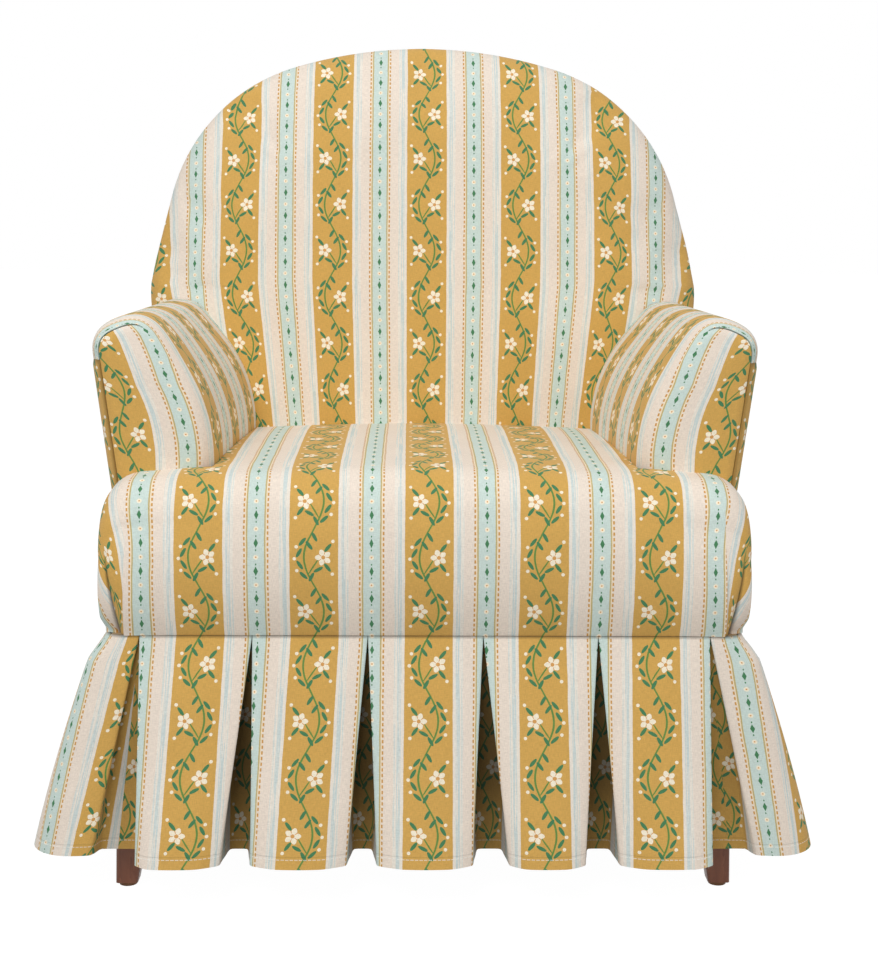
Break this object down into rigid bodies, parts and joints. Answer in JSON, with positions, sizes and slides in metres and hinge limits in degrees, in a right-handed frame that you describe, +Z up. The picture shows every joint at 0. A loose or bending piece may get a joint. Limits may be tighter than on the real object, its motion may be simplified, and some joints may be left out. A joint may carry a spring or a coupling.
{
  "type": "skirted armchair",
  "caption": "Upholstered armchair with an arched padded back, rolled arms, a crowned tight seat and a box pleated skirt over short tapered wooden legs",
  "frame": {"origin": "on the floor under the middle of the overall box", "axes": "+Z up, +X to the right in the picture (the sitter's left), -Y the way the chair faces"},
  "size_m": [0.786, 0.6101, 0.8706],
  "materials": {
    "frame_wood": "sawn and sanded hardwood",
    "leg_wood": "stained satin",
    "steel": "zinc plated",
    "board": "grey chipboard",
    "webbing": "woven jute",
    "felt": "needled felt",
    "dust_cloth": "thin black cambric",
    "foam": "open-cell foam",
    "cover_fabric": "printed cotton linen, matte",
    "skirt_fabric": "printed cotton linen, matte"
  },
  "bodies": {
    "root": {"front_rail": "frame_wood", "rear_rail": "frame_wood", "side_rail_left": "frame_wood", "side_rail_right": "frame_wood", "corner_blocks": "frame_wood", "frame_dowels": "frame_wood", "arm_post_left": "frame_wood", "arm_post_right": "frame_wood", "arm_top_rail_left": "frame_wood", "arm_top_rail_right": "frame_wood", "arm_tack_rail_left": "frame_wood", "arm_tack_rail_right": "frame_wood", "back_post_left": "frame_wood", "back_post_right": "frame_wood", "back_bow": "frame_wood", "back_tack_rail": "frame_wood", "leg_front_left": "leg_wood", "leg_front_right": "leg_wood", "leg_rear_left": "leg_wood", "leg_rear_right": "leg_wood", "corner_block_screws": "steel", "arm_post_screws": "steel", "leg_bolts": "steel", "leg_tee_nuts": "steel", "leg_glides": "steel", "seat_springs": "steel", "spring_clips": "steel", "arm_liner_left": "board", "arm_liner_right": "board", "skirt_tack_strip": "board", "back_webbing": "webbing", "seat_insulator": "felt", "dust_cover": "dust_cloth", "seat_foam": "foam", "back_foam": "foam", "arm_foam_left": "foam", "arm_foam_right": "foam", "seat_cover": "cover_fabric", "back_cover": "cover_fabric", "arm_cover_left": "cover_fabric", "arm_cover_right": "cover_fabric", "outside_arm_left": "cover_fabric", "outside_arm_right": "cover_fabric", "outside_back": "cover_fabric", "skirt_front": "skirt_fabric", "skirt_left": "skirt_fabric", "skirt_right": "skirt_fabric", "skirt_rear": "skirt_fabric"}
  },
  "joints": []
}
